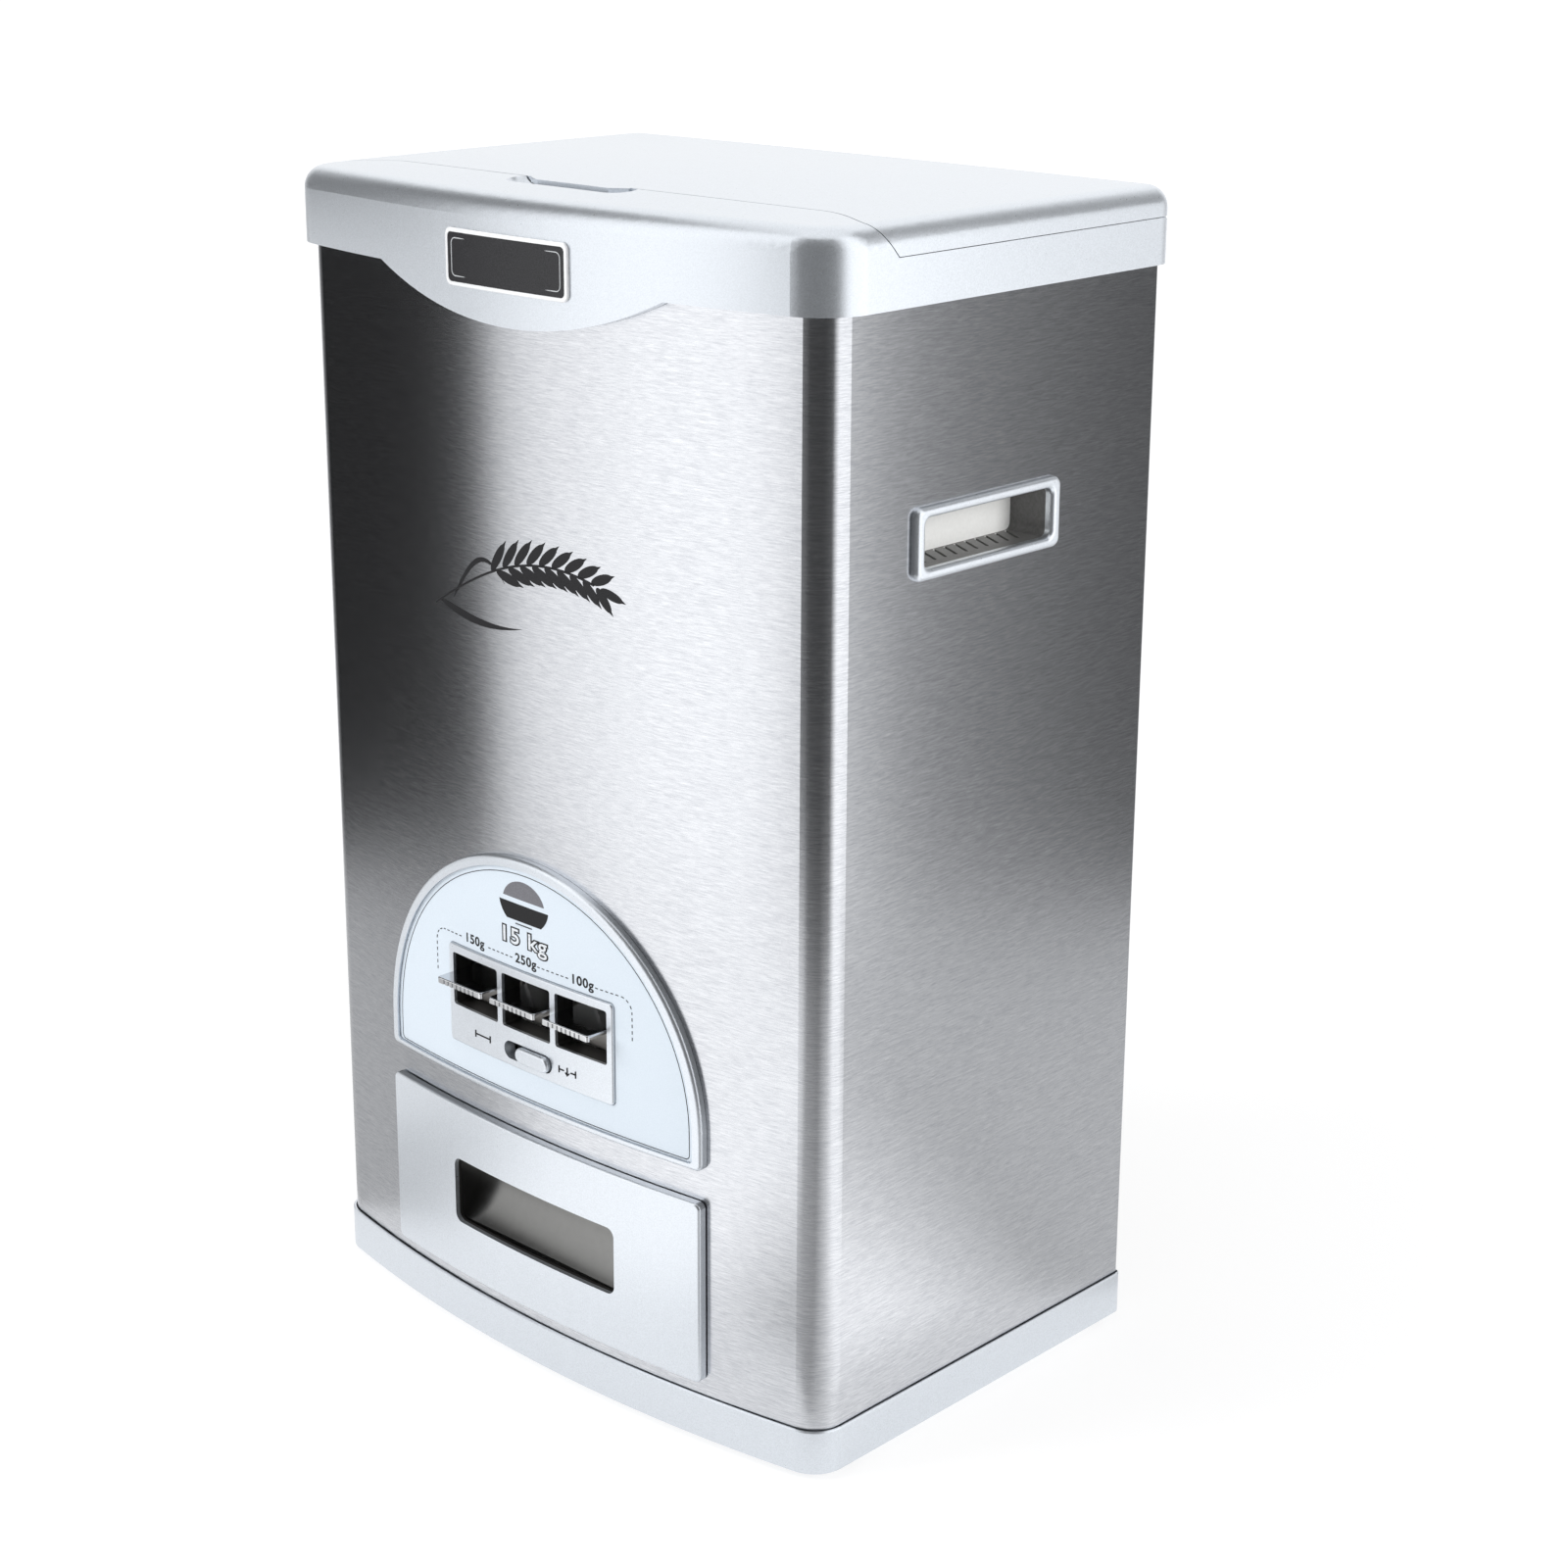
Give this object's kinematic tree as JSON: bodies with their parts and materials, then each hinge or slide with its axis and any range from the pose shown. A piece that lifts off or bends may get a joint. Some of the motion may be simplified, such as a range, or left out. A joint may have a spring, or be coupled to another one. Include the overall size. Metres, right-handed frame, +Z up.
{
  "type": "rice dispenser",
  "caption": "Upright rice bin with a bowed steel front, hinged lid, inner hopper, measuring keys on a domed panel, an open and close slide and a catch drawer.",
  "frame": {"origin": "on the floor plane, under the middle of the overall width and depth with lid and drawer closed", "axes": "+Z up, -Y out of the bowed front with the keys and the drawer, +X to the right as seen from the front"},
  "size_m": [0.309, 0.2284, 0.5043],
  "materials": {
    "steel": "horizontally brushed stainless sheet",
    "galvanised": "plain zinc-coated sheet",
    "silver_paint": "pale silver lacquer with fine metallic flake",
    "label": "satin printed film",
    "badge_white": "white gloss",
    "badge_dark": "dark satin field",
    "chrome": "bright plated plastic",
    "knob": "silver gloss",
    "dark_plastic": "dark moulded plastic",
    "cream_plastic": "cream moulded plastic",
    "inner_plastic": "translucent-white moulded plastic, drawn opaque",
    "rod_steel": "plated steel",
    "seal_rubber": "soft grey gasket",
    "foot_rubber": "black rubber"
  },
  "bodies": {
    "cabinet": {"badge_inset": "badge_dark", "badge_plate": "badge_white", "base_plinth": "silver_paint", "block_screws": "rod_steel", "cabinet_shell": "steel", "dose_block": "inner_plastic", "drawer_housing": "galvanised", "drawer_rail_left": "galvanised", "drawer_rail_right": "galvanised", "foot_front_left": "foot_rubber", "foot_front_right": "foot_rubber", "foot_rear_left": "foot_rubber", "foot_rear_right": "foot_rubber", "foot_screws": "rod_steel", "handle_bezel_left": "silver_paint", "handle_bezel_right": "silver_paint", "handle_cup_left": "cream_plastic", "handle_cup_right": "cream_plastic", "hinge_pin_left": "rod_steel", "hinge_pin_right": "rod_steel", "hopper": "inner_plastic", "key_frame": "silver_paint", "key_shaft": "rod_steel", "key_springs": "rod_steel", "label_film": "label", "outlet_grille": "inner_plastic", "panel_bezel": "silver_paint", "rail_screws": "rod_steel", "rear_panel": "galvanised", "rear_screws": "rod_steel", "throat_block": "inner_plastic", "top_collar": "silver_paint"},
    "lid": {"lid": "silver_paint", "lid_seal": "seal_rubber"},
    "key_150": {"key_cap_150": "chrome", "key_rocker_150": "dark_plastic"},
    "key_250": {"key_cap_250": "chrome", "key_rocker_250": "dark_plastic"},
    "key_100": {"key_cap_100": "chrome", "key_rocker_100": "dark_plastic"},
    "shutter": {"shutter_plate": "inner_plastic", "slide_knob": "knob"},
    "drawer": {"drawer_tray": "inner_plastic", "drawer_front": "silver_paint", "drawer_grip": "dark_plastic", "drawer_screws": "rod_steel"}
  },
  "joints": [
    {"name": "lid_hinge", "type": "hinge", "parent": "cabinet", "child": "lid", "pos_m": [0, 0.11125, 0.489], "axis": [-1, 0, 0], "range_deg": [0, 100]},
    {"name": "key_150_press", "type": "hinge", "parent": "cabinet", "child": "key_150", "pos_m": [0, -0.08375, 0.168], "axis": [1, 0, 0], "range_deg": [0, 20], "stiffness_Nm_per_rad": 0.08, "springref_deg": -20.05},
    {"name": "key_250_press", "type": "hinge", "parent": "cabinet", "child": "key_250", "pos_m": [0, -0.08375, 0.168], "axis": [1, 0, 0], "range_deg": [0, 20], "stiffness_Nm_per_rad": 0.08, "springref_deg": -20.05},
    {"name": "key_100_press", "type": "hinge", "parent": "cabinet", "child": "key_100", "pos_m": [0, -0.08375, 0.168], "axis": [1, 0, 0], "range_deg": [0, 20], "stiffness_Nm_per_rad": 0.08, "springref_deg": -20.05},
    {"name": "outlet_slide", "type": "slide", "parent": "cabinet", "child": "shutter", "axis": [-1, 0, 0], "range_m": [0, 0.008]},
    {"name": "drawer_slide", "type": "slide", "parent": "cabinet", "child": "drawer", "axis": [0, -1, 0], "range_m": [0, 0.12]}
  ]
}
